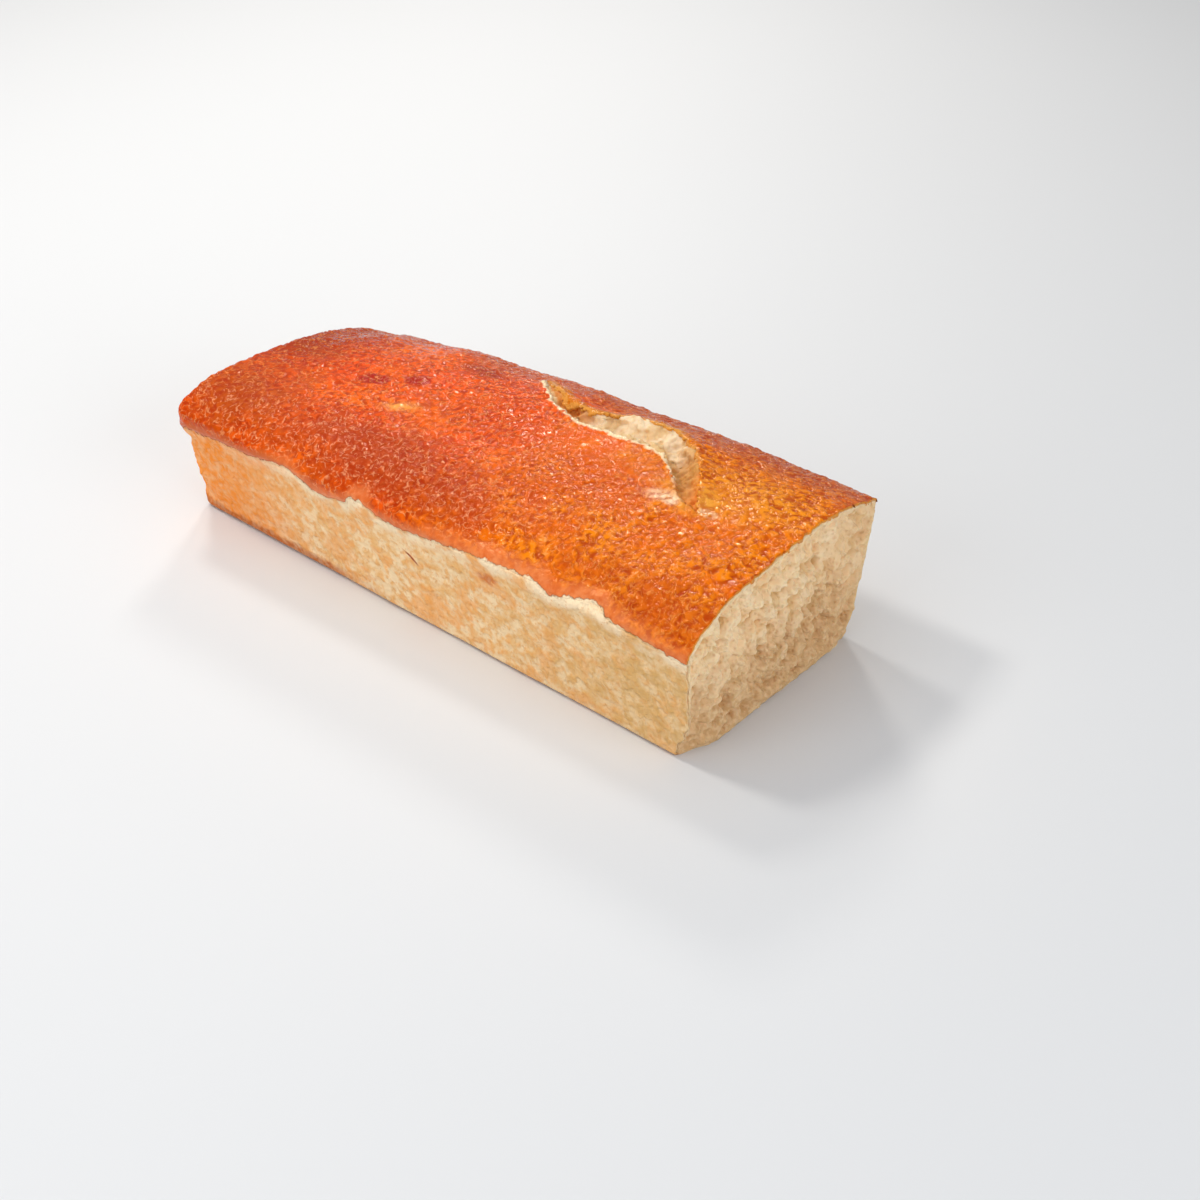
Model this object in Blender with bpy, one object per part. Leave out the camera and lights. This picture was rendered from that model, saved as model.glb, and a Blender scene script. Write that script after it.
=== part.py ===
"""A pound cake loaf, baked in a tapered tin and cut across at its +X end.

Metres, +Z up. The loaf stands on its base at z = 0, with its length along X and the cut face at +X.
The uncut loaf is built first: wall rings go up round a rounded rectangle, and a grid closes the domed top.
A knife block with a torn, crumbly face then takes the end off, and a torn trough opens the split in the crust.
"""

import math

import bmesh
import bpy
from mathutils import Vector, noise

# Along X: the uncut loaf's far end, and where the knife took the other end off.
BAKED_LENGTH = 0.262
FAR_END_X = -0.1205
CUT_X = 0.1195
LOAF_MIDDLE_X = FAR_END_X + BAKED_LENGTH / 2

# The tin gives the lower half: a rounded rectangle that widens towards its rim. The near side, at -Y, bulges.
RIM_WIDTH = 0.1045
BASE_NEAR = 0.0462
BASE_FAR = 0.0425
BASE_NEAR_SPREAD = 0.0028
BASE_FAR_SPREAD = 0.0010
BASE_END_INSET = -0.0030
RIM_CORNER_RADIUS = 0.0036
BASE_CORNER_RADIUS = 0.0038
BASE_EDGE_RADIUS = 0.0020
FOOT_HEIGHT = 0.0090
FOOT_INSET = 0.0016

# The cake rose above the tin: a flat crown with a full near shoulder and a gentler far one.
# The rim's height along X, at the near and the far side.
RIM_NEAR = ((-0.1195, 0.0452), (-0.0600, 0.0450), (0.1430, 0.0455))
RIM_FAR = (
    (-0.1195, 0.0378),
    (-0.0900, 0.0426),
    (-0.0540, 0.0478),
    (0.0100, 0.0520),
    (0.0600, 0.0535),
    (0.1050, 0.0535),
    (0.1195, 0.0505),
    (0.1430, 0.0460),
)
CROWN_RISE = 0.0108
CROWN_RISE_AT_END = 0.0098
NEAR_SHOULDER_POWER = 4.6
FAR_SHOULDER_POWER = 2.4
END_SLOPE_LENGTH = 0.055

# The browned top crust laps over the rim, stands a little proud of the pale wall below it, and ends raggedly.
CRUST_EDGE_NEAR = (
    (-0.119, 0.0350),
    (-0.086, 0.0400),
    (-0.048, 0.0372),
    (-0.031, 0.0412),
    (-0.016, 0.0370),
    (0.014, 0.0412),
    (0.039, 0.0425),
    (0.059, 0.0400),
    (0.080, 0.0425),
    (0.099, 0.0405),
    (0.143, 0.0410),
)
CRUST_EDGE_HEIGHT = 0.0385
CRUST_EDGE_WAVE = 0.0022
CRUST_PROUD = 0.0008
CRUST_STEP = 0.0012

# The knife leaned a little, and the base corners crumbled, the near one more.
LOAF_HEIGHT = 0.0610
CUT_LEAN = 0.0030
NEAR_CORNER_CRUMBLE = 0.0055
FAR_CORNER_CRUMBLE = 0.0015
CORNER_CRUMBLE_REACH = 0.016
CRUMB_SIZE = 0.0052
CRUMB_DEPTH = 0.0013

# The crust burst open along the crown while it baked: points of the split's middle line, and its half width there.
SPLIT_LINE = (
    (-0.016, 0.037, 0.0010),
    (0.000, 0.028, 0.0028),
    (0.016, 0.023, 0.0045),
    (0.031, 0.027, 0.0062),
    (0.044, 0.028, 0.0062),
    (0.056, 0.023, 0.0050),
    (0.066, 0.013, 0.0046),
    (0.075, 0.003, 0.0034),
    (0.082, -0.002, 0.0010),
)
SPLIT_DEPTH = 0.0056
SPLIT_DEPTH_PER_WIDTH = 1.05
SPLIT_LIP_RISE = 0.0016
SPLIT_STATIONS_PER_LEG = 4
# Across the split, from the near side: (share of the half width, share of the depth).
SPLIT_SECTION = ((-1.0, 0.0), (-0.72, 0.62), (-0.25, 1.0), (0.25, 0.82), (0.68, 0.45), (1.0, 0.0))
SPLIT_RAGGED = 0.0011

# Mesh density: quads along the length, across the width, and the wall's rows.
QUADS_ALONG = 72
QUADS_ACROSS = 28
WALL_ROWS = 5
KNIFE_QUAD = 0.0026

# Broad dents and swellings of the whole surface, then a finer roughness.
SWELL_SIZE = 0.034
SWELL_DEPTH = 0.0007
ROUGH_SIZE = 0.009
ROUGH_DEPTH = 0.0004

# Puts the middle of the finished loaf's bounding box on the Z axis.
CENTRING = (0.001401, -0.000111, 0.0)

CRUST_COLOUR = (0.62, 0.22, 0.045, 1.0)
CRUST_ROUGHNESS = 0.35


def clear_scene():
    for found in list(bpy.data.objects):
        bpy.data.objects.remove(found, do_unlink=True)


def ease(value):
    """A smooth step from 0 to 1."""
    value = min(max(value, 0.0), 1.0)
    return value * value * (3.0 - 2.0 * value)


def blend(start, end, share):
    return start + (end - start) * share


def wobble(point, size, seed):
    """Smooth noise from about -1 to 1, of features about size across."""
    return noise.noise(Vector(point) / size + Vector((seed, 2.3 * seed, 3.7 * seed)))


def rounded_square(u, v, half_length, half_width, radius):
    """Puts the square point (u, v), each from -1 to 1, into a rectangle with round corners."""
    x, y = u * half_length, v * half_width
    over_x = abs(x) - (half_length - radius)
    over_y = abs(y) - (half_width - radius)
    if over_x <= 0.0 or over_y <= 0.0:
        return x, y
    a, b = over_x / radius, over_y / radius
    round_x = half_length - radius + radius * a * math.sqrt(1.0 - 0.5 * b * b)
    round_y = half_width - radius + radius * b * math.sqrt(1.0 - 0.5 * a * a)
    return math.copysign(round_x, x), math.copysign(round_y, y)


def toward_end(x):
    """0 along the loaf's body, rising to 1 at its uncut end."""
    return ease(1.0 - (x - FAR_END_X) / END_SLOPE_LENGTH)


def along(points, x):
    """The height at x of a line through these (x, height) points, eased from one to the next."""
    for (x0, h0), (x1, h1) in zip(points, points[1:]):
        if x <= x1:
            return blend(h0, h1, ease((x - x0) / (x1 - x0)))
    return points[-1][1]


def rim_height(x, y):
    """Height of the loaf's widest line, level across the loaf from its near to its far side."""
    across = 0.5 + y / RIM_WIDTH
    return blend(along(RIM_NEAR, x), along(RIM_FAR, x), across)


def crown_height(x, y):
    """Height of the top surface, before the split's lips and the roughness."""
    across = min(abs(y) / (RIM_WIDTH / 2), 1.0)
    power = NEAR_SHOULDER_POWER if y < 0.0 else FAR_SHOULDER_POWER
    rise = blend(CROWN_RISE, CROWN_RISE_AT_END, toward_end(x))
    return rim_height(x, y) + rise * (1.0 - across**power)


def split_lip(x, y):
    """The lip that the split's far side lifts, and a lower one at its near side."""
    nearest, side = 1e9, 1.0
    for (x0, y0, w0), (x1, y1, w1) in zip(SPLIT_LINE, SPLIT_LINE[1:]):
        run = Vector((x1 - x0, y1 - y0))
        away = Vector((x - x0, y - y0))
        share = min(max(away.dot(run) / run.length_squared, 0.0), 1.0)
        distance = (away - run * share).length / blend(w0, w1, share)
        if distance < nearest:
            nearest = distance
            side = 1.0 if run.x * away.y - run.y * away.x > 0.0 else 0.3
    return SPLIT_LIP_RISE * side * (1.0 - ease((nearest - 1.0) / 1.6))


def roughness(point):
    swell = SWELL_DEPTH * wobble(point, SWELL_SIZE, 1.0)
    return swell + ROUGH_DEPTH * wobble(point, ROUGH_SIZE, 5.0)


def crust_edge(x, y):
    """Height of the crust's ragged lower edge at this place of the wall."""
    ragged = wobble((x, y, 0.0), 0.016, 3.0) + 0.5 * wobble((x, y, 0.0), 0.007, 4.0)
    elsewhere = CRUST_EDGE_HEIGHT - 0.0030 * toward_end(x) + CRUST_EDGE_WAVE * ragged
    near = ease(-y / (RIM_WIDTH / 4) - 0.6)
    return blend(elsewhere, along(CRUST_EDGE_NEAR, x), near)


def wall_levels(x, y, rim):
    """(height, share of the way from base to rim, offset outwards) of the wall's rings, base first."""
    edge = min(crust_edge(x, y), rim - 2.2 * CRUST_STEP)
    levels = [
        (0.0, 0.0, -BASE_EDGE_RADIUS),
        (0.25 * BASE_EDGE_RADIUS, 0.02, -0.4 * BASE_EDGE_RADIUS),
        (BASE_EDGE_RADIUS, 0.05, 0.0),
    ]
    low, high = BASE_EDGE_RADIUS, edge - CRUST_STEP / 2
    for row in range(1, WALL_ROWS + 1):
        height = blend(low, high, row / WALL_ROWS)
        levels.append((height, height / rim, 0.0))
    levels.append((edge + CRUST_STEP / 2, edge / rim, CRUST_PROUD))
    levels.append((rim, 1.0, CRUST_PROUD * 0.4))
    return levels


def wall_point(u, v, height, share, offset):
    """A point of the wall ring at this share of the way up, over the square's border point (u, v)."""
    near_half = BASE_NEAR + BASE_NEAR_SPREAD * u
    far_half = BASE_FAR + BASE_FAR_SPREAD * u
    half_width = blend(blend(near_half, far_half, 0.5 + v / 2), RIM_WIDTH / 2, share) + offset
    half_length = BAKED_LENGTH / 2 - BASE_END_INSET * (1.0 - share) + offset
    if u < 0.0:
        half_length -= FOOT_INSET * (1.0 - ease((height - FOOT_HEIGHT) / (0.2 * FOOT_HEIGHT)))
    radius = blend(BASE_CORNER_RADIUS, RIM_CORNER_RADIUS, share)
    x, y = rounded_square(u, v, half_length, half_width, radius)
    return Vector((x + LOAF_MIDDLE_X, y, height))


def roughened(point, normal):
    """Moves a wall point in or out, but keeps the base flat where it rests."""
    fade = ease(point.z / 0.004)
    return point + normal * roughness(point) * fade


def spaced(count, pull):
    """Steps from -1 to 1, closer together at both ends where pull is above 0."""
    steps = [2.0 * i / count - 1.0 for i in range(count + 1)]
    return [blend(s, math.sin(0.5 * math.pi * s), pull) for s in steps]


def border_of(us, vs):
    """The square's border points, once round against the clock."""
    border = [(u, vs[0]) for u in us[:-1]]
    border += [(us[-1], v) for v in vs[:-1]]
    border += [(u, vs[-1]) for u in reversed(us[1:])]
    border += [(us[0], v) for v in reversed(vs[1:])]
    return border


def build_uncut_loaf():
    """The whole loaf as it came out of the tin, closed all round."""
    loaf = bmesh.new()
    us = spaced(QUADS_ALONG, 0.25)
    vs = spaced(QUADS_ACROSS, 0.55)
    rings = []
    for u, v in border_of(us, vs):
        rim_x, rim_y = rounded_square(
            u, v, BAKED_LENGTH / 2, RIM_WIDTH / 2, RIM_CORNER_RADIUS
        )
        rim = crown_height(rim_x + LOAF_MIDDLE_X, rim_y)
        outward = Vector((rim_x, 2.4 * rim_y, 0.0)).normalized()
        column = [
            loaf.verts.new(roughened(wall_point(u, v, *level), outward))
            for level in wall_levels(rim_x + LOAF_MIDDLE_X, rim_y, rim)
        ]
        rings.append(column)
    count = len(rings)
    for i, column in enumerate(rings):
        beside = rings[(i + 1) % count]
        for low in range(len(column) - 1):
            loaf.faces.new((column[low], beside[low], beside[low + 1], column[low + 1]))
    loaf.faces.new([column[0] for column in reversed(rings)])
    close_top(loaf, us, vs, [column[-1] for column in rings])
    return loaf


def close_top(loaf, us, vs, rim_ring):
    """Fills the rim with a grid that follows the crown."""
    corners = dict(zip(border_of(us, vs), rim_ring))
    rows = []
    for v in vs:
        row = []
        for u in us:
            vertex = corners.get((u, v))
            if vertex is None:
                x, y = rounded_square(u, v, BAKED_LENGTH / 2, RIM_WIDTH / 2, RIM_CORNER_RADIUS)
                x += LOAF_MIDDLE_X
                point = Vector((x, y, crown_height(x, y) + split_lip(x, y)))
                point.z += roughness(point)
                vertex = loaf.verts.new(point)
            row.append(vertex)
        rows.append(row)
    for low, high in zip(rows, rows[1:]):
        for i in range(len(us) - 1):
            loaf.faces.new((low[i], low[i + 1], high[i + 1], high[i]))


def cut_surface(y, z):
    """x of the torn cut face at this height and place across."""
    x = CUT_X - CUT_LEAN * (1.0 - z / LOAF_HEIGHT)
    corner = Vector((abs(y) - BASE_NEAR, z))
    crumble = NEAR_CORNER_CRUMBLE if y < 0.0 else FAR_CORNER_CRUMBLE
    x -= crumble * (1.0 - ease(corner.length / CORNER_CRUMBLE_REACH))
    clumps = wobble((0.0, y, z), CRUMB_SIZE, 7.0)
    pits = min(wobble((0.0, y, z), 2.1 * CRUMB_SIZE, 9.0), 0.0)
    return x + CRUMB_DEPTH * clumps + 1.3 * CRUMB_DEPTH * pits


def build_knife():
    """The block of cake that the knife takes away: its face towards -X is the torn cut face."""
    knife = bmesh.new()
    margin = 4.0 * KNIFE_QUAD
    half = math.ceil((RIM_WIDTH / 2 + margin) / KNIFE_QUAD)
    top = math.ceil((LOAF_HEIGHT + margin) / KNIFE_QUAD)
    bottom = -4
    rows = []
    for k in range(bottom, top + 1):
        z = k * KNIFE_QUAD
        rows.append(
            [
                knife.verts.new((cut_surface(j * KNIFE_QUAD, max(z, 0.0)), j * KNIFE_QUAD, z))
                for j in range(-half, half + 1)
            ]
        )
    face = [
        knife.faces.new((low[j], high[j], high[j + 1], low[j + 1]))
        for low, high in zip(rows, rows[1:])
        for j in range(2 * half)
    ]
    beyond = BAKED_LENGTH / 2 + LOAF_MIDDLE_X + margin
    pulled = bmesh.ops.extrude_face_region(knife, geom=face)
    for vertex in (g for g in pulled["geom"] if isinstance(g, bmesh.types.BMVert)):
        vertex.co.x = beyond
    bmesh.ops.recalc_face_normals(knife, faces=knife.faces)
    return knife


def split_stations():
    """(middle, half width) of the split's cross-sections, on a smooth line through its points."""
    points = [Vector(p) for p in SPLIT_LINE]
    stations = []
    for i in range(len(points) - 1):
        before = points[max(i - 1, 0)]
        start, end = points[i], points[i + 1]
        after = points[min(i + 2, len(points) - 1)]
        for step in range(SPLIT_STATIONS_PER_LEG):
            t = step / SPLIT_STATIONS_PER_LEG
            slope_in, slope_out = (end - before) / 2, (after - start) / 2
            curve = 2 * start - 2 * end + slope_in + slope_out
            bend = 3 * end - 3 * start - 2 * slope_in - slope_out
            stations.append(start + slope_in * t + bend * t * t + curve * t * t * t)
    stations.append(points[-1])
    return [(Vector((p.x, p.y)), p.z) for p in stations]


def build_tear():
    """The wedge of air that the split leaves: a trough with torn sides, open upwards."""
    tear = bmesh.new()
    stations = split_stations()
    above = RIM_WIDTH / 12
    rings = []
    for i, (middle, half_width) in enumerate(stations):
        before = stations[max(i - 1, 0)][0]
        after = stations[min(i + 1, len(stations) - 1)][0]
        across = (after - before).normalized().orthogonal()
        if across.y < 0.0:
            across.negate()
        depth = min(SPLIT_DEPTH, SPLIT_DEPTH_PER_WIDTH * half_width)
        section = []
        for side, sink in SPLIT_SECTION:
            torn = wobble((middle.x, middle.y, side * 0.01), 0.006, 11.0) * SPLIT_RAGGED
            place = middle + across * (half_width * side + torn * min(half_width / 0.003, 1.0))
            surface = crown_height(place.x, place.y) + split_lip(place.x, place.y)
            rough = wobble((place.x, place.y, 0.0), 0.005, 13.0) * SPLIT_RAGGED * sink
            section.append(Vector((place.x, place.y, surface - depth * sink + rough)))
        section[0].z += SPLIT_RAGGED
        section[-1].z += SPLIT_RAGGED
        low, high = section[0].copy(), section[-1].copy()
        low.z, high.z = low.z + above, high.z + above
        rings.append([tear.verts.new(point) for point in [low, *section, high]])
    for ring, after in zip(rings, rings[1:]):
        for k in range(len(ring)):
            beside = (k + 1) % len(ring)
            tear.faces.new((ring[k], after[k], after[beside], ring[beside]))
    tear.faces.new(list(reversed(rings[0])))
    tear.faces.new(rings[-1])
    bmesh.ops.recalc_face_normals(tear, faces=tear.faces)
    return tear


def to_object(mesh_in_work, name):
    bmesh.ops.translate(mesh_in_work, verts=mesh_in_work.verts, vec=CENTRING)
    mesh = bpy.data.meshes.new(name)
    mesh_in_work.to_mesh(mesh)
    mesh_in_work.free()
    made = bpy.data.objects.new(name, mesh)
    bpy.context.scene.collection.objects.link(made)
    return made


def crust_material():
    material = bpy.data.materials.new("baked_crust")
    material.use_nodes = True
    shader = material.node_tree.nodes["Principled BSDF"]
    shader.inputs["Base Color"].default_value = CRUST_COLOUR
    shader.inputs["Roughness"].default_value = CRUST_ROUGHNESS
    shader.inputs["Metallic"].default_value = 0.0
    return material


def cut_from(loaf, tool, name):
    """Takes the tool's shape out of the loaf, and keeps the tool itself out of the render."""
    tool.hide_render = True
    tool.display_type = "WIRE"
    cut = loaf.modifiers.new(name, "BOOLEAN")
    cut.operation = "DIFFERENCE"
    cut.object = tool


def main():
    clear_scene()
    loaf = to_object(build_uncut_loaf(), "loaf")
    loaf.data.materials.append(crust_material())
    cut_from(loaf, to_object(build_knife(), "knife"), "cut_end_off")
    cut_from(loaf, to_object(build_tear(), "tear"), "split_crust")


main()
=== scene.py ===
import math

import bpy
import numpy as np
from mathutils import Matrix, Vector
from mathutils.kdtree import KDTree


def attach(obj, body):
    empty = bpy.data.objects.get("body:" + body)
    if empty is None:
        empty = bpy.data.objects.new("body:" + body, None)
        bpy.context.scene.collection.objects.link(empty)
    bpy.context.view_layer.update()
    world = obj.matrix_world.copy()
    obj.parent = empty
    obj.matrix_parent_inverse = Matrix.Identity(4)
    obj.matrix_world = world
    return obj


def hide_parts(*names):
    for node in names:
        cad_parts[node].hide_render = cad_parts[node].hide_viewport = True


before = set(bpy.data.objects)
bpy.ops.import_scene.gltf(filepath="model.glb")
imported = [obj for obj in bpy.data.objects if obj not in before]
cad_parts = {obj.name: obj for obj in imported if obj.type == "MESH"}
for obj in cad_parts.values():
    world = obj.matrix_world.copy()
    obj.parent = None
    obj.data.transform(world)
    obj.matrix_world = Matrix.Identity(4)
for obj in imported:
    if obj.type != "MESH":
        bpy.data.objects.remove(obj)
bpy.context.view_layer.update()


# The camera stands where the photograph was taken from, above the cut end's near corner.
# It looks down on the loaf with a long lens, so the far end narrows only a little.
AZIMUTH, ELEVATION, ROLL = math.radians(39.713), math.radians(34.741), math.radians(0.26)
LOOKS_AT = Vector((0.0376, 0.0047, 0.0))
CAMERA_DISTANCE = 0.7132

bpy.ops.object.camera_add()
camera = bpy.context.object
camera.name = "camera"
back = Vector((
    math.sin(AZIMUTH) * math.cos(ELEVATION),
    -math.cos(AZIMUTH) * math.cos(ELEVATION),
    math.sin(ELEVATION),
))
level_right = Vector((math.cos(AZIMUTH), math.sin(AZIMUTH), 0.0))
level_up = back.cross(level_right)
right = level_right * math.cos(ROLL) + level_up * math.sin(ROLL)
turned = Matrix((right, back.cross(right), back)).transposed().to_4x4()
camera.matrix_world = Matrix.Translation(LOOKS_AT + back * CAMERA_DISTANCE) @ turned
camera.data.sensor_width = 36.0
camera.data.lens = 60.0
bpy.context.scene.camera = camera


# The loaf as it came out of its tin, before the knife: the form that the crust, the sides and the crumb
# are made from. It is the solid's own shape with its skin evened out, and with its cut end drawn out past
# the knife's place.
SKIN_GRAIN = 0.0008
CUT_END_FROM, CUT_END_DRAWN_TO = 0.107, 0.132


def alone(piece):
    """Selects this piece and nothing else."""
    bpy.ops.object.select_all(action="DESELECT")
    piece.select_set(True)
    bpy.context.view_layer.objects.active = piece


def copied(mesh, name):
    """A new object with its own copy of this mesh."""
    made = bpy.data.objects.new(name, mesh.copy())
    made.data.name = name
    bpy.context.scene.collection.objects.link(made)
    alone(made)
    return made


def reworked(piece, kind, **settings):
    """Adds a modifier of this kind and applies it."""
    alone(piece)
    modifier = piece.modifiers.new(kind.lower(), kind)
    for name, value in settings.items():
        setattr(modifier, name, value)
    bpy.ops.object.modifier_apply(modifier=modifier.name)


def points(piece):
    """The places of the piece's vertices, one row each."""
    found = np.empty(3 * len(piece.data.vertices), np.float32)
    piece.data.vertices.foreach_get("co", found)
    return found.reshape(-1, 3).astype(float)


def face_places(piece):
    """The middles and the normals of the piece's faces."""
    middles = np.empty(3 * len(piece.data.polygons), np.float32)
    normals = np.empty(3 * len(piece.data.polygons), np.float32)
    piece.data.polygons.foreach_get("center", middles)
    piece.data.polygons.foreach_get("normal", normals)
    return middles.reshape(-1, 3).astype(float), normals.reshape(-1, 3).astype(float)


def pick(piece, wanted):
    """Opens the piece in edit mode with only the wanted faces selected."""
    alone(piece)
    bpy.ops.object.mode_set(mode="EDIT")
    bpy.ops.mesh.select_mode(type="FACE")
    bpy.ops.mesh.select_all(action="DESELECT")
    bpy.ops.object.mode_set(mode="OBJECT")
    piece.data.polygons.foreach_set("select", wanted)
    bpy.ops.object.mode_set(mode="EDIT")


uncut = copied(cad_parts["loaf"].data, "uncut_loaf")
bpy.ops.object.mode_set(mode="EDIT")
bpy.ops.mesh.select_all(action="SELECT")
bpy.ops.mesh.remove_doubles(threshold=0.00001)
bpy.ops.object.mode_set(mode="OBJECT")
middles, normals = face_places(uncut)
pick(uncut, (middles[:, 0] > CUT_END_FROM) & (normals[:, 0] > 0.12))
bpy.ops.transform.resize(value=(0.0, 1.0, 1.0), center_override=(CUT_END_DRAWN_TO, 0.0, 0.0))
bpy.ops.object.mode_set(mode="OBJECT")
reworked(uncut, "REMESH", mode="VOXEL", voxel_size=SKIN_GRAIN)
reworked(uncut, "SMOOTH", factor=0.5, iterations=14)


# The edge where the browned top crust stops on the pale sides, and the split that burst open in it.
# The crust laps down over the rim and ends raggedly, lower at the baked end, with notches that reach
# over the shoulder.
CRUST_EDGE_NEAR = np.array((
    (-0.1215, 0.0365), (-0.1146, 0.0378), (-0.0969, 0.0400), (-0.0807, 0.0400), (-0.0671, 0.0425),
    (-0.0591, 0.0436), (-0.0519, 0.0413), (-0.0469, 0.0383), (-0.0402, 0.0385), (-0.0305, 0.0400),
    (-0.0278, 0.0440), (-0.0225, 0.0445), (-0.0183, 0.0427), (-0.0148, 0.0412), (-0.0031, 0.0405),
    (0.0093, 0.0425), (0.0207, 0.0440), (0.0309, 0.0448), (0.0408, 0.0456), (0.0493, 0.0460),
    (0.0563, 0.0462), (0.0606, 0.0452), (0.0636, 0.0440), (0.0715, 0.0462), (0.0800, 0.0475),
    (0.0839, 0.0472), (0.0869, 0.0455), (0.0910, 0.0446), (0.0981, 0.0440), (0.1055, 0.0436),
    (0.1132, 0.0428), (0.1215, 0.0425),
))
CRUST_EDGE_ELSEWHERE = 0.0385
CRUST_LIP = 0.0003
SPLIT_MIDDLE = np.array((
    (-0.0156, 0.0385, 0.0008), (0.0014, 0.0252, 0.0022), (0.0164, 0.0218, 0.0040),
    (0.0320, 0.0264, 0.0078), (0.0450, 0.0266, 0.0080), (0.0574, 0.0222, 0.0056),
    (0.0684, 0.0132, 0.0044), (0.0764, 0.0032, 0.0030), (0.0830, -0.0020, 0.0008),
))


def waves(at, size, turn):
    """A smooth uneven pattern from about -1 to 1, with features of about this size."""
    total = np.zeros(len(at))
    for k in range(6):
        angle = turn + 2.4 * k
        lean = math.sin(1.7 * turn + 3.1 * k)
        across = at[:, 0] * math.cos(angle) + at[:, 1] * math.sin(angle) + at[:, 2] * lean
        total += np.sin(across * (5.0 + 0.9 * k) / size + 1.3 * k * turn)
    return total / 3.0


def above_crust_edge(at):
    """Height of these places above the crust's lower edge, in millimetres."""
    near = np.interp(at[:, 0], CRUST_EDGE_NEAR[:, 0], CRUST_EDGE_NEAR[:, 1])
    wavy = 0.0017 * waves(at * (1, 1, 0), 0.050, 1.0) + 0.0008 * waves(at * (1, 1, 0), 0.014, 2.0)
    wavy += 0.0004 * waves(at * (1, 1, 0), 0.0045, 4.0)
    elsewhere = CRUST_EDGE_ELSEWHERE + wavy - 0.03 * np.maximum(-at[:, 0] - 0.07, 0.0)
    elsewhere += 0.05 * np.maximum(at[:, 0], 0.0) * (at[:, 1] > 0.0)
    toward_near = np.clip((-at[:, 1] - 0.035) / 0.012, 0.0, 1.0)
    return 1000.0 * (at[:, 2] - elsewhere - (near - elsewhere) * toward_near)


def across_split(at):
    """Where these places lie across the split, seen from above: 0 is its middle line, -1 its near edge and 1
    its far edge. The second row is how far they are outside its ragged edge, in millimetres."""
    nearest = np.full(len(at), 9.0)
    outside = np.full(len(at), 99.0)
    for (x0, y0, w0), (x1, y1, w1) in zip(SPLIT_MIDDLE, SPLIT_MIDDLE[1:]):
        run = np.array((x1 - x0, y1 - y0))
        away = at[:, :2] - (x0, y0)
        share = np.clip(away @ run / (run @ run), 0.0, 1.0)
        width = w0 + (w1 - w0) * share
        gap = np.hypot(*(away - share[:, None] * run).T) / width
        side = np.where(run[0] * away[:, 1] > run[1] * away[:, 0], 1.0, -1.0)
        closer = (gap < np.abs(nearest)) & (at[:, 2] > 0.045)
        nearest = np.where(closer, gap * side, nearest)
        outside = np.where(closer, (gap - 1.0) * width * 1000.0, outside)
    outside += 0.7 * waves(at, 0.0055, 3.0) + 0.35 * waves(at, 0.0022, 5.0)
    return nearest, outside


def weighted(piece, name, weights):
    """Gives the piece a vertex group with these weights."""
    group = piece.vertex_groups.new(name=name)
    for i in np.flatnonzero(weights > 0.001):
        group.add([int(i)], float(weights[i]), "REPLACE")


def grain(kind, size, **settings):
    """A texture that relief is raised from, with features of this size in metres."""
    texture = bpy.data.textures.new(kind.lower(), kind)
    texture.noise_scale = size
    for name, value in settings.items():
        setattr(texture, name, value)
    return texture


def creased(size):
    """A texture of rounded lumps of this size with sharp creases between them."""
    return grain("CLOUDS", size, noise_type="HARD_NOISE", noise_depth=1)


def roughened(piece, texture, strength, middle, group="", **settings):
    """Raises relief from this texture, over the places that the group weights."""
    reworked(
        piece, "DISPLACE", texture=texture, texture_coords="LOCAL",
        strength=strength, mid_level=middle, vertex_group=group, **settings,
    )


at = points(uncut)
edge = above_crust_edge(at)
lip = np.clip(edge / 1.2, 0.0, 1.0) * np.clip(1.0 - (edge - 1.5) / 6.0, 0.0, 1.0) * (at[:, 2] > 0.03)
top = np.clip((edge - 1.5) / 3.0, 0.0, 1.0)
wall = np.clip(1.0 - edge / 1.5, 0.0, 1.0) * np.clip((at[:, 2] - 0.0015) / 0.004, 0.0, 1.0)
baked_end = wall * np.clip((-at[:, 0] - 0.108) / 0.008, 0.0, 1.0)
beside, outside = across_split(at)
near_lip = np.clip(1.0 - np.abs(outside - 0.5) / 2.6, 0.0, 1.0) * (beside < 0.0)
weighted(uncut, "lip", lip)
weighted(uncut, "top", top)
weighted(uncut, "wall", wall)
weighted(uncut, "baked_end", baked_end)
weighted(uncut, "near_lip", near_lip)
weighted(uncut, "above_base", np.clip(at[:, 2] / 0.003, 0.0, 1.0))
reworked(uncut, "DISPLACE", strength=-0.0004, mid_level=0.0, vertex_group="above_base")
reworked(uncut, "DISPLACE", strength=CRUST_LIP, mid_level=0.0, vertex_group="lip")
reworked(uncut, "DISPLACE", strength=0.0009, mid_level=0.0, direction="Z", vertex_group="near_lip")
roughened(uncut, grain("CLOUDS", 0.0110, noise_depth=2), 0.0007, 0.60, "top")
roughened(uncut, creased(0.0028), 0.0008, 0.40, "top")
roughened(uncut, grain("CLOUDS", 0.0034, noise_depth=2), 0.0010, 0.62, "wall")
roughened(uncut, creased(0.0100), 0.0034, 0.62, "baked_end")
grown = uncut.data.copy()


# The knife's stroke across the loaf: it leans a little, and the base corners broke away as it came down.
# The smooth stroke trims the crust and the sides, and the same stroke with the crumb torn out of it
# shapes the cut face.
STROKE_GRAIN = 0.00048
STROKE_ROWS, STROKE_COLUMNS = 150, 250
STROKE_LEAN = 0.030

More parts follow.
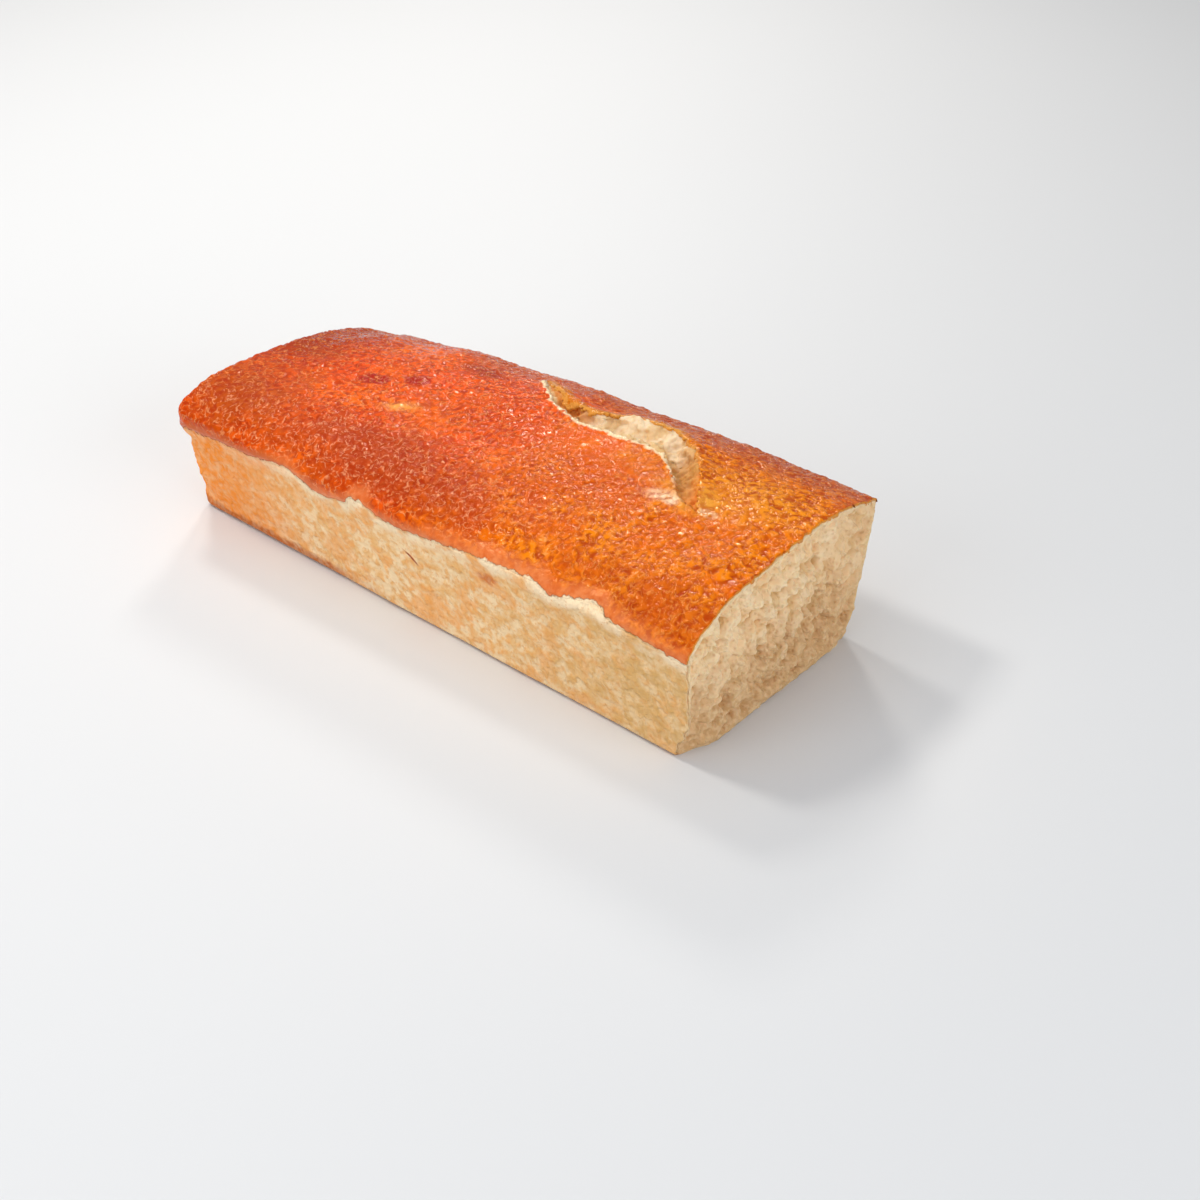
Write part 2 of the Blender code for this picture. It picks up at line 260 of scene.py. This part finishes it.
bpy.ops.object.select_all(action="DESELECT")
bpy.ops.mesh.primitive_grid_add(x_subdivisions=STROKE_ROWS, y_subdivisions=STROKE_COLUMNS, size=1.0)
stroke = bpy.context.object
stroke.name = "knife_stroke"
stroke.scale = (STROKE_ROWS * STROKE_GRAIN, STROKE_COLUMNS * STROKE_GRAIN, 1.0)
stroke.rotation_euler = (0.0, math.radians(-90.0) + STROKE_LEAN, 0.0)
stroke.location = (0.1191, 0.0, 0.031)
bpy.ops.object.transform_apply(location=True, rotation=True, scale=True)
for corner, reach, depth in (
    ((0.1187, -0.0480, 0.0), 0.017, 0.0055),
    ((0.1187, 0.0430, 0.0), 0.012, 0.0015),
    ((0.1210, 0.0540, 0.052), 0.009, 0.0008),
):
    bpy.ops.object.mode_set(mode="EDIT")
    bpy.ops.mesh.select_mode(type="VERT")
    bpy.ops.mesh.select_all(action="DESELECT")
    bpy.ops.object.mode_set(mode="OBJECT")
    nearest = int(np.argmin(np.linalg.norm(points(stroke) - corner, axis=1)))
    stroke.data.vertices[nearest].select = True
    bpy.ops.object.mode_set(mode="EDIT")
    bpy.ops.transform.translate(
        value=(-depth, 0.0, 0.0), use_proportional_edit=True, proportional_size=reach,
        proportional_edit_falloff="SMOOTH",
    )
    bpy.ops.object.mode_set(mode="OBJECT")
roughened(stroke, grain("CLOUDS", 0.016), 0.0012, 0.5, direction="X")
clean_cut = points(stroke)


def thickened(face, name):
    """A closed block from this face towards +X, for cutting with."""
    block = copied(face.data, name)
    bpy.ops.object.mode_set(mode="EDIT")
    bpy.ops.mesh.select_all(action="SELECT")
    bpy.ops.mesh.extrude_region_move(TRANSFORM_OT_translate={"value": (0.03, 0.0, 0.0)})
    bpy.ops.mesh.select_all(action="SELECT")
    bpy.ops.mesh.normals_make_consistent(inside=False)
    bpy.ops.object.mode_set(mode="OBJECT")
    return block


def trimmed(piece, block):
    """Takes the block's shape off the piece."""
    reworked(piece, "BOOLEAN", operation="DIFFERENCE", object=block, solver="MANIFOLD")


smooth_knife = thickened(stroke, "smooth_knife")
smooth_knife.location.x = -0.0004
roughened(smooth_knife, grain("CLOUDS", 0.0036, noise_depth=1), 0.0016, 0.5, direction="X")
trimmed(uncut, smooth_knife)


# The outside of the loaf is one baked skin: amber and glossy on top, with fine wrinkles and dark and pale
# patches, glints painted on the wrinkles and shade painted in their pits, a smooth salmon band where the
# crust laps over the rim, partly painted sheen, and a pale, spongy, orange-flecked wall where the tin held
# it.


class Wire:
    """One output of a shader node. Sums written with it add Math nodes to its material."""

    def __init__(self, tree, socket=None):
        self.tree = tree
        self.socket = socket

    def node(self, kind, settings=None, values=None, out=0):
        """Adds a node: its settings are set first, then its sockets' values or links."""
        made = self.tree.nodes.new("ShaderNode" + kind)
        for name, value in (settings or {}).items():
            setattr(made, name, value)
        for name, value in (values or {}).items():
            if isinstance(value, Wire):
                self.tree.links.new(value.socket, made.inputs[name])
            elif isinstance(value, tuple) and len(value) == 3 and made.inputs[name].type == "RGBA":
                made.inputs[name].default_value = (*value, 1.0)
            else:
                made.inputs[name].default_value = value
        return Wire(self.tree, made.outputs[out] if made.outputs else None)

    def sum(self, operation, *terms):
        return self.node("Math", {"operation": operation}, dict(enumerate(terms)))

    def __add__(self, other):
        return self.sum("ADD", self, other)

    def __sub__(self, other):
        return self.sum("SUBTRACT", self, other)

    def __mul__(self, other):
        return self.sum("MULTIPLY", self, other)

    def __truediv__(self, other):
        return self.sum("DIVIDE", self, other)

    def __pow__(self, other):
        return self.sum("POWER", self, other)

    def __rsub__(self, other):
        return self.sum("SUBTRACT", other, self)

    __radd__ = __add__
    __rmul__ = __mul__

    def step(self, low, high):
        """0 below low and 1 above high, eased between them."""
        return self.node(
            "MapRange", {"interpolation_type": "SMOOTHSTEP"}, {0: self, 1: low, 2: high, 3: 0.0, 4: 1.0}
        )

    def mixed(self, low, high):
        """The low colour where this is 0, and the high one where it is 1."""
        return self.node("Mix", {"data_type": "RGBA"}, {0: self, 6: low, 7: high}, out=2)

    def noise(self, size, detail=2.0, out=0):
        """Cloudy noise over these coordinates, from 0 to 1."""
        return self.node("TexNoise", None, {"Vector": self, "Scale": 1.0 / size, "Detail": detail}, out=out)

    def cells(self, size):
        """Distance from the nearest cell's middle, in a pattern of cells of this size."""
        return self.node("TexVoronoi", None, {"Vector": self, "Scale": 1.0 / size})


def new_finish(name):
    """An empty material, with a wire to start from."""
    material = bpy.data.materials.new(name)
    material.use_nodes = True
    material.node_tree.nodes.clear()
    return material, Wire(material.node_tree)


def close_finish(start, shader):
    """Makes this shader the material's surface."""
    start.node("OutputMaterial", None, {"Surface": shader})


baked_skin, start = new_finish("baked_skin")
place = start.node("TexCoord", out=3)
along = start.node("SeparateXYZ", None, {0: place}, out=0)
over = start.node("SeparateXYZ", None, {0: place}, out=1)
height = start.node("SeparateXYZ", None, {0: place}, out=2)
above = start.node("Attribute", {"attribute_name": "above_edge"}, out=2)

blotch = place.noise(0.013, 3.0)
cloud = place.noise(0.036, 3.0)
fleck = place.noise(0.0028, 3.0)
speck = place.noise(0.0011, 2.0)
bent = place.node(
    "VectorMath", {"operation": "MULTIPLY_ADD"},
    {0: place.noise(0.0045, 1.0, out=1), 1: (0.0030, 0.0030, 0.0030), 2: place},
)
# The creases are thin ridges that the bump raises, and also the places where glints are painted into the
# colour.
crease_and_painted_glint = bent.noise(0.0030, 1.0)
crease_and_painted_glint = 1.0 - crease_and_painted_glint.sum("ABSOLUTE", crease_and_painted_glint - 0.5) * 16.0
crease_and_painted_glint = crease_and_painted_glint.step(0.0, 1.0) * place.noise(0.0016, 1.0).step(0.43, 0.55)
grit = bent.noise(0.0023, 2.0).step(0.32, 0.66)
wrinkle = grit * 0.70 + crease_and_painted_glint * 0.34


def patch(x, y, length, width, soft=0.5, side=over, tilt=0.0):
    """1 inside a ragged patch centred at (x, y) of the top, or at (x, z) of a side, and 0 outside."""
    forward = (along - x) * math.cos(tilt) + (side - y) * math.sin(tilt)
    across = (side - y) * math.cos(tilt) - (along - x) * math.sin(tilt)
    reach = (forward / length) ** 2.0 + (across / width) ** 2.0
    ragged = reach ** 0.5 + (blotch - 0.5) * 1.4 + (fleck - 0.5) * 0.8
    return 1.0 - ragged.step(1.0 - soft, 1.0 + soft)


amber = cloud.step(0.35, 0.68).mixed((0.87, 0.080, 0.001), (0.94, 0.142, 0.001))
golden = blotch.step(0.3, 0.7).mixed((0.80, 0.125, 0.001), (0.90, 0.240, 0.002))
crust = (along + (cloud - 0.5) * 0.06).step(-0.025, 0.055).mixed(amber, golden)
far_corner = 1.0 - (along + (blotch - 0.5) * 0.03).step(-0.112, -0.070)
far_corner = far_corner * (over + (cloud - 0.5) * 0.03).step(-0.035, 0.010)
far_rim = 1.0 - (above + (blotch - 0.5) * 8.0).step(4.0, 14.0)
far_rim = far_rim * (over + (cloud - 0.5) * 0.03).step(-0.02, 0.02)
for area, strength, tone in (
    (patch(0.075, 0.050, 0.075, 0.014), 0.80, (0.50, 0.130, 0.050)),
    (patch(-0.015, 0.045, 0.05, 0.010), 0.70, (0.50, 0.110, 0.035)),
    (patch(-0.025, -0.037, 0.050, 0.014, 0.7), 0.90, (0.44, 0.046, 0.006)),
    (patch(0.105, -0.043, 0.035, 0.010, 0.7), 0.70, (0.58, 0.100, 0.006)),
    (patch(-0.101, -0.036, 0.024, 0.017, 0.7), 0.85, (0.42, 0.060, 0.002)),
    (patch(0.046, -0.010, 0.022, 0.012, 0.8), 0.70, (0.70, 0.105, 0.001)),
    (patch(-0.005, 0.003, 0.020, 0.012, 0.8), 0.70, (0.72, 0.072, 0.001)),
    (far_corner, 0.90, (0.33, 0.034, 0.001)),
    (patch(-0.0650, -0.0010, 0.0062, 0.0040, 0.3, tilt=0.3), 0.95, (0.42, 0.008, 0.001)),
    (patch(-0.0515, 0.0075, 0.0050, 0.0038, 0.3, tilt=0.9), 0.95, (0.42, 0.010, 0.001)),
    (patch(-0.043, -0.0105, 0.0060, 0.0026, 0.9, tilt=0.5), 0.80, (0.98, 0.400, 0.070)),
    (patch(-0.038, 0.030, 0.0090, 0.0050, 0.5), 0.85, (0.38, 0.036, 0.006)),
    (patch(0.055, 0.004, 0.014, 0.009, 0.6), 0.60, (0.76, 0.130, 0.006)),
    (patch(0.092, 0.016, 0.028, 0.014, 0.8), 0.60, (0.90, 0.360, 0.020)),
    (patch(0.078, 0.002, 0.009, 0.006, 0.8), 0.80, (0.84, 0.400, 0.060)),
    (far_rim, 0.55, (0.42, 0.062, 0.010)),
):
    crust = (area * strength).mixed(crust, tone)
# The near shoulder: a little glossier, and with more painted glints.
gloss_and_painted_glints = patch(-0.045, -0.041, 0.080, 0.012, 0.8)
calm = patch(0.034, 0.008, 0.024, 0.008, 0.7) * 0.7
# Painted shade: dark red painted into the wrinkles' pits, where the bump is low, except in the calm patch.
painted_pit_shade = (1.0 - grit) * (0.50 + blotch.step(0.35, 0.65) * 0.36) * (1.0 - calm)
crust = painted_pit_shade.mixed(crust, (0.37, 0.018, 0.001))
crease_and_painted_glint = crease_and_painted_glint * (1.0 - calm)
# Painted highlights: pale orange glints painted along the creases, pinker and denser on the near shoulder.
crust = (crease_and_painted_glint * (0.38 + gloss_and_painted_glints * 0.12)).mixed(crust, gloss_and_painted_glints.mixed((1.0, 0.400, 0.090), (1.0, 0.460, 0.230)))
# Pale bare patches, faded in the pits so that the painted shade there still shows.
bare = (0.25 + grit * 0.65) * fleck.step(0.30, 0.48)
crust = (patch(0.070, -0.002, 0.0060, 0.0026, 0.8, tilt=0.3) * bare).mixed(crust, (0.98, 0.740, 0.480))
crust = (patch(0.0735, -0.003, 0.0026, 0.0018, 0.6) * bare).mixed(crust, (0.98, 0.780, 0.560))
crust = (patch(0.0875, -0.001, 0.0028, 0.0015, 0.6) * bare).mixed(crust, (0.98, 0.760, 0.520))

# The band's salmon is partly the crust's own paler edge and partly painted sheen, the pink of gloss on the
# rolled lip.
salmon = fleck.step(0.3, 0.7).mixed((0.70, 0.150, 0.035), (0.82, 0.270, 0.100))
salmon = (1.0 - (along + (blotch - 0.5) * 0.03).step(-0.085, -0.045)).mixed(salmon, (0.58, 0.120, 0.024))
across = start.node("Attribute", {"attribute_name": "across_split"}, out=2)
outside = start.node("Attribute", {"attribute_name": "outside_split"}, out=2)
near_side = 1.0 - across.step(-0.1, 0.1)
thin_skin = (1.0 - (outside + (blotch - 0.5) * 6.0).step(2.5, 5.5)) * (1.0 - near_side)
thin_skin = thin_skin * (1.0 - (along + (blotch - 0.5) * 0.02).step(0.050, 0.066))
crust = (thin_skin * 0.9).mixed(crust, (0.66, 0.190, 0.004))
fringe = 1.0 - (outside + (fleck - 0.5) * 2.0 + (blotch - 0.5) * 2.4).step(0.9, 1.9)
fringe = fringe * (1.0 - (along + (fleck - 0.5) * 0.004).step(0.064, 0.072))
crust = (fringe * near_side * 0.95).mixed(crust, (0.97, 0.760, 0.480))
crust = (fringe * (1.0 - near_side) * 0.6).mixed(crust, (0.80, 0.400, 0.090))
band = 1.0 - (above + (blotch - 0.5) * 3.0 + (fleck - 0.5) * 4.0).step(1.2, 5.2)
crust = (band * 0.80).mixed(crust, salmon)

sponge = bent.cells(0.0024).step(0.1, 0.8)
mottle = place.noise(0.0052, 4.0)
pale = (mottle + (fleck - 0.5) * 0.5).step(0.34, 0.64).mixed((0.98, 0.740, 0.450), (0.88, 0.510, 0.200))
pale = ((fleck + (speck - 0.5) * 0.5).step(0.50, 0.66) * 0.40).mixed(pale, (0.86, 0.380, 0.100))
wall = ((blotch + (fleck - 0.5) * 0.3).step(0.46, 0.62) * 0.68).mixed(pale, (0.92, 0.400, 0.110))
ripe = (along + (cloud - 0.5) * 0.08).step(0.03, 0.11) * (0.45 + mottle.step(0.40, 0.60) * 0.40)
wall = ripe.mixed(wall, (0.70, 0.420, 0.150))
below_edge = (above + (fleck - 0.5) * 4.0 + (mottle - 0.5) * 8.0).step(-6.0, -2.0)
wall = (below_edge * (1.0 - blotch.step(0.48, 0.66)) * 0.95).mixed(wall, (1.0, 0.800, 0.540))
toward_end = 1.0 - (along + (blotch - 0.5) * 0.05).step(-0.105, -0.045)
wall = (toward_end * (0.66 + mottle.step(0.36, 0.60) * 0.34)).mixed(wall, (0.95, 0.270, 0.020))
end_wall = 1.0 - along.step(-0.1205, -0.1165)
wall = (end_wall * 0.7).mixed(wall, (0.60, 0.170, 0.030))
base_edge = 1.0 - (height + (fleck - 0.5) * 0.005).step(0.0030, 0.0060)
base_edge = base_edge * (1.0 - (along + (blotch - 0.5) * 0.05).step(-0.060, -0.015))
wall = (base_edge * 0.9).mixed(wall, (0.52, 0.120, 0.018))
near_wall = 1.0 - over.step(-0.038, -0.030)
crack = patch(-0.001, 0.0290, 0.0036, 0.0005, side=height, tilt=-0.54) * near_wall
wall = crack.mixed(wall, (0.34, 0.040, 0.010))
scorch = patch(0.035, 0.0365, 0.0046, 0.0026, side=height) * (1.0 - fleck.step(0.50, 0.62)) * near_wall
wall = (scorch * 0.90).mixed(wall, (0.64, 0.140, 0.012))
under = 1.0 - height.step(0.0002, 0.0012)
wall = (under * 0.8).mixed(wall, (0.56, 0.200, 0.055))
wall = ((1.0 - sponge) * 0.22).mixed(wall, (0.98, 0.800, 0.520))
wall = (speck.step(0.56, 0.76) * 0.45).mixed(wall, (0.72, 0.310, 0.085))

cut_rim = start.node("SeparateXYZ", None, {0: start.node("NewGeometry", out=3)}, out=0).step(0.55, 0.8)
cut_rim = cut_rim * along.step(0.112, 0.114)
wall = (cut_rim * 0.9).mixed(wall, (0.84, 0.600, 0.330))
crust = (cut_rim * 0.8).mixed(crust, (0.74, 0.330, 0.060))

crusty = (above + (fleck - 0.5) * 2.6 + (speck - 0.5)).step(-0.25, 0.25)
colour = crusty.mixed(wall, crust)
wrinkled = crusty * (1.0 - band * 0.85)
spongy = sponge + speck * 1.2 + fleck * 2.0 + mottle * 3.0
relief = wrinkle * wrinkled + spongy * (1.0 - crusty) + crusty * 1.4
bump = start.node("Bump", None, {"Strength": 1.0, "Distance": 0.00042, "Height": relief})
dull_far = patch(0.085, 0.048, 0.070, 0.014)
roughness = 0.62 - crusty * (0.52 - band * 0.12 - dull_far * 0.06 - (blotch - 0.5) * 0.10 + gloss_and_painted_glints * 0.02)
shader = start.node("BsdfPrincipled", None, {
    "Base Color": colour, "Roughness": roughness, "Specular IOR Level": 0.20,
    "Specular Tint": (1.0, 0.50, 0.16), "Normal": bump,
})
close_finish(start, shader)


# The top crust: a thin browned sheet over the whole crown, down over the rim to its ragged edge on the sides.
# It is open along the split, and the knife left its edge showing as a thin brown line.
CRUST_THICKNESS = 0.0013


def noted(piece, name, values):
    """Keeps a value for each of the piece's vertices, which its material reads by this name."""
    piece.data.attributes.new(name, "FLOAT", "POINT").data.foreach_set("value", values.astype(np.float32))


def shell(name, chosen, thickness, kept):
    """A closed sheet of this thickness under the chosen faces of the trimmed loaf. The faces are merged down
    to this share of them, which changes the shape only a little."""
    made = copied(uncut.data, name)
    pick(made, ~chosen)
    bpy.ops.mesh.delete(type="FACE")
    bpy.ops.object.mode_set(mode="OBJECT")
    reworked(made, "DECIMATE", ratio=kept)
    reworked(made, "SOLIDIFY", thickness=thickness, offset=-1.0)
    made.data.materials.clear()
    made.data.materials.append(baked_skin)
    at = points(made)
    noted(made, "above_edge", above_crust_edge(at))
    for layer, values in zip(("across_split", "outside_split"), across_split(at)):
        noted(made, layer, values)
    alone(made)
    bpy.ops.object.shade_smooth()
    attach(made, "root")
    return made


middles, normals = face_places(uncut)
cut_side = (normals[:, 0] > 0.6) & (middles[:, 0] > 0.111)
torn = across_split(middles)[1] < 0.0
browned = (above_crust_edge(middles) > -0.6) & ~cut_side
top_crust = shell("top_crust", browned & ~torn, CRUST_THICKNESS, kept=0.75)


# The sides and the base: the thin, pale skin that the tin held, closed at the base edge.
# It is thinner than the crust, and shows at the cut as a golden line.
SIDE_THICKNESS = 0.0006

side_skin = shell("side_skin", ~browned & ~cut_side, SIDE_THICKNESS, kept=0.50)


# The crumb: the soft inside of the cake, torn into clumps and pits where the knife dragged through it,
# and swollen up pale and bubbly in the split.
CRUMB_GRAIN = 0.0013
KNIFE_SLACK = 0.0012

crumb = copied(grown, "crumb")
reworked(crumb, "REMESH", mode="VOXEL", voxel_size=CRUMB_GRAIN)
at = points(crumb)
in_split = 1.0 - np.clip((across_split(at)[1] + 1.0) / 2.5, 0.0, 1.0)
weighted(crumb, "covered", 1.0 - in_split)
weighted(crumb, "split", in_split)
reworked(crumb, "DISPLACE", strength=-0.0008, mid_level=0.0, vertex_group="covered")
pick(crumb, across_split(face_places(crumb)[0])[1] < 2.0)
bpy.ops.mesh.subdivide(number_cuts=2, smoothness=0.5)
bpy.ops.object.mode_set(mode="OBJECT")
roughened(crumb, grain("CLOUDS", 0.0078, noise_depth=1), 0.0062, 0.53, "split")
roughened(crumb, creased(0.0038), 0.0022, 0.36, "split")

at = points(crumb)
outline = at[(at[:, 0] > 0.116) & (at[:, 0] < 0.125)]
rim_tree = KDTree(len(outline))
for i, (x, y, z) in enumerate(outline):
    rim_tree.insert((0.0, y, z), i)
rim_tree.balance()
inward = np.array([rim_tree.find((0.0, y, z))[2] for x, y, z in clean_cut])
centre = np.exp(-((clean_cut[:, 1] - 0.006) / 0.026) ** 2 - ((clean_cut[:, 2] - 0.024) / 0.017) ** 2)
ragged = np.clip(0.74 + 0.20 * waves(clean_cut * (0, 1, 1), 0.022, 1.7) + 0.35 * centre, 0.5, 1.0)
weighted(stroke, "torn", ragged * np.clip((inward - 0.0006) / 0.0018, 0.0, 1.0))
roughened(stroke, creased(0.0110), 0.0070, 0.42, "torn", direction="X")
rough_cut = points(stroke)
roughened(stroke, creased(0.0062), 0.0066, 0.38, "torn", direction="X")
roughened(stroke, grain("VORONOI", 0.0050), -0.0042, 0.44, "torn", direction="X")
roughened(stroke, creased(0.0022), 0.0012, 0.35, "torn", direction="X")
torn_cut = points(stroke)
crumb_knife = thickened(stroke, "crumb_knife")
trimmed(crumb, crumb_knife)
bpy.data.objects.remove(crumb_knife)
smooth_knife.location.x = KNIFE_SLACK
trimmed(crumb, smooth_knife)
bpy.data.objects.remove(smooth_knife)


def stroke_cell(at):
    """The row and the column of the knife's stroke that each of these places lies on."""
    row = np.rint((at[:, 2] - clean_cut[:, 2].min()) / STROKE_GRAIN)
    column = np.rint((at[:, 1] - clean_cut[:, 1].min()) / STROKE_GRAIN)
    return np.clip(row, 0, STROKE_ROWS).astype(int), np.clip(column, 0, STROKE_COLUMNS).astype(int)


baked_crumb, start = new_finish("baked_crumb")
place = start.node("TexCoord", out=3)
along = start.node("SeparateXYZ", None, {0: place}, out=0)
over = start.node("SeparateXYZ", None, {0: place}, out=1)
height = start.node("SeparateXYZ", None, {0: place}, out=2)
depth = start.node("Attribute", {"attribute_name": "hollow"}, out=2)
gap = start.node("Attribute", {"attribute_name": "gap"}, out=2)
blotch = place.noise(0.009, 3.0)
fleck = place.noise(0.0022, 3.0)
pores = place.cells(0.0014).step(0.05, 0.6)
cream = blotch.step(0.3, 0.7).mixed((0.96, 0.745, 0.475), (0.93, 0.655, 0.370))
cream = (fleck.step(0.55, 0.8) * 0.4).mixed(cream, (0.98, 0.840, 0.610))
# Painted shade: the crumb is coloured tan where it was torn deeper, and brown in the deepest hollows of the
# cut.
cream = ((gap + (fleck - 0.5)).step(0.9, 2.4) * 0.60).mixed(cream, (0.72, 0.460, 0.180))
cream = (depth.step(2.0, 4.4) * 0.65).mixed(cream, (0.58, 0.320, 0.105))
# Painted shade: the crumb is coloured browner towards the bottom of the cut.
low = 1.0 - (height + (blotch - 0.5) * 0.03).step(0.010, 0.040)
cream = (low * (0.55 + fleck.step(0.4, 0.6) * 0.35)).mixed(cream, (0.60, 0.345, 0.140))
# Painted shade: the crumb is coloured darker towards the far side of the cut.
painted_far_shade = (over + (blotch - 0.5) * 0.03).step(-0.005, 0.050)
cream = (painted_far_shade * 0.5).mixed(cream, (0.74, 0.480, 0.240))
across = start.node("Attribute", {"attribute_name": "across_split"}, out=2)
outside = start.node("Attribute", {"attribute_name": "outside_split"}, out=2)
in_split = 1.0 - outside.step(1.5, 3.0)
# Painted shade: small dark spots in the pores, which the bump sinks, outside the split.
cream = ((1.0 - pores) * 0.20 * (1.0 - in_split)).mixed(cream, (0.62, 0.360, 0.140))
# Painted shade: the crumb in the split is coloured darker than the cut, in tan patches that stand for shade
# between its bubbles.
lumps = (place.noise(0.0060, 1.0) + (fleck - 0.5) * 0.4).step(0.38, 0.62)
cream = (in_split * 0.8).mixed(cream, lumps.mixed((0.72, 0.470, 0.220), (0.88, 0.700, 0.470)))
# Painted shade: tan on the near side of the split, under its near lip.
split_near_side_shade = (1.0 - (across + (blotch - 0.5) + (fleck - 0.5) * 0.5).step(-0.7, 0.1)) * in_split
cream = (split_near_side_shade * 0.7).mixed(cream, (0.70, 0.430, 0.160))
tongue = (along + (blotch - 0.5) * 0.012).step(0.050, 0.066) * in_split
cream = (tongue * 0.9).mixed(cream, (0.60, 0.255, 0.034))
tongue_end = (along + (blotch - 0.5) * 0.010).step(0.068, 0.079) * in_split
cream = (tongue_end * 0.9).mixed(cream, (0.80, 0.230, 0.008))
amber_end = (1.0 - (along + (blotch - 0.5) * 0.012).step(0.010, 0.022)) * across.step(-0.4, 0.3) * in_split
cream = (amber_end * 0.9).mixed(cream, (0.64, 0.200, 0.010))
holes = (pores * 0.6 + fleck * 0.7) * (1.0 - in_split * 0.75)
bump = start.node("Bump", None, {"Strength": 1.0, "Distance": 0.00045, "Height": holes})
shader = start.node("BsdfPrincipled", None, {
    "Base Color": cream, "Roughness": 0.72, "Normal": bump, "Subsurface Weight": 0.25,
    "Subsurface Radius": (1.0, 0.6, 0.35), "Subsurface Scale": 0.003,
})
close_finish(start, shader)

crumb.data.materials.clear()
crumb.data.materials.append(baked_crumb)
at = points(crumb)
# Depths of the torn cut, which the crumb's material turns into painted shade.
for layer, surface in (("hollow", clean_cut), ("gap", rough_cut)):
    depth_at = np.zeros((STROKE_ROWS + 1, STROKE_COLUMNS + 1))
    depth_at[stroke_cell(clean_cut)] = 1000.0 * (surface[:, 0] - torn_cut[:, 0])
    noted(crumb, layer, np.where(at[:, 0] > 0.108, depth_at[stroke_cell(at)], 0.0))
for layer, values in zip(("across_split", "outside_split"), across_split(at)):
    noted(crumb, layer, values)
alone(crumb)
bpy.ops.object.shade_smooth()
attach(crumb, "root")
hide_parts("loaf")
bpy.data.objects.remove(uncut)
bpy.data.objects.remove(stroke)


# A plain pale floor under the loaf, and studio light: three small warm lamps on the left and behind, which
# glint in the crust's wrinkles, and three broad ones above, in front and at the right, which light the near
# side and the cut softly.
bpy.ops.object.select_all(action="DESELECT")
bpy.ops.mesh.primitive_plane_add(size=6.0, location=(0.0, 0.0, 0.0))
floor = bpy.context.object
floor.name = "floor"
pale_floor, start = new_finish("pale_floor")
place = start.node("TexCoord", out=3)
tint = place.noise(0.9, 2.0).mixed((0.70, 0.725, 0.755), (0.73, 0.755, 0.785))
close_finish(start, start.node("BsdfPrincipled", None, {"Base Color": tint, "Roughness": 0.6}))
floor.data.materials.append(pale_floor)

WARM, COOL = (1.0, 0.94, 0.86), (0.99, 0.99, 1.0)
for name, direction, distance, size, power, colour in (
    ("lamp_high_left", (-0.55, -0.20, 0.81), 1.1, 0.17, 3.7, WARM),
    ("lamp_far_left", (-0.56, 0.25, 0.74), 1.1, 0.16, 2.5, WARM),
    ("lamp_behind", (-0.52, 0.64, 0.56), 1.1, 0.16, 2.5, WARM),
    ("lamp_overhead", (-0.05, -0.30, 0.95), 1.3, 1.3, 4.4, COOL),
    ("lamp_front", (-0.15, -0.90, 0.40), 1.4, 0.9, 6.2, COOL),
    ("lamp_right", (0.92, -0.10, 0.38), 1.3, 0.9, 6.6, COOL),
):
    bpy.ops.object.light_add(type="AREA", location=Vector(direction).normalized() * distance)
    lamp = bpy.context.object
    lamp.name = name
    lamp.rotation_euler = Vector(direction).to_track_quat("Z", "Y").to_euler()
    lamp.data.size = size
    lamp.data.energy = power
    lamp.data.color = colour

world = bpy.data.worlds.new("pale_room")
bpy.context.scene.world = world
world.use_nodes = True
world.node_tree.nodes["Background"].inputs["Color"].default_value = (0.98, 0.985, 1.0, 1.0)
world.node_tree.nodes["Background"].inputs["Strength"].default_value = 0.24
bpy.context.scene.view_settings.view_transform = "Standard"
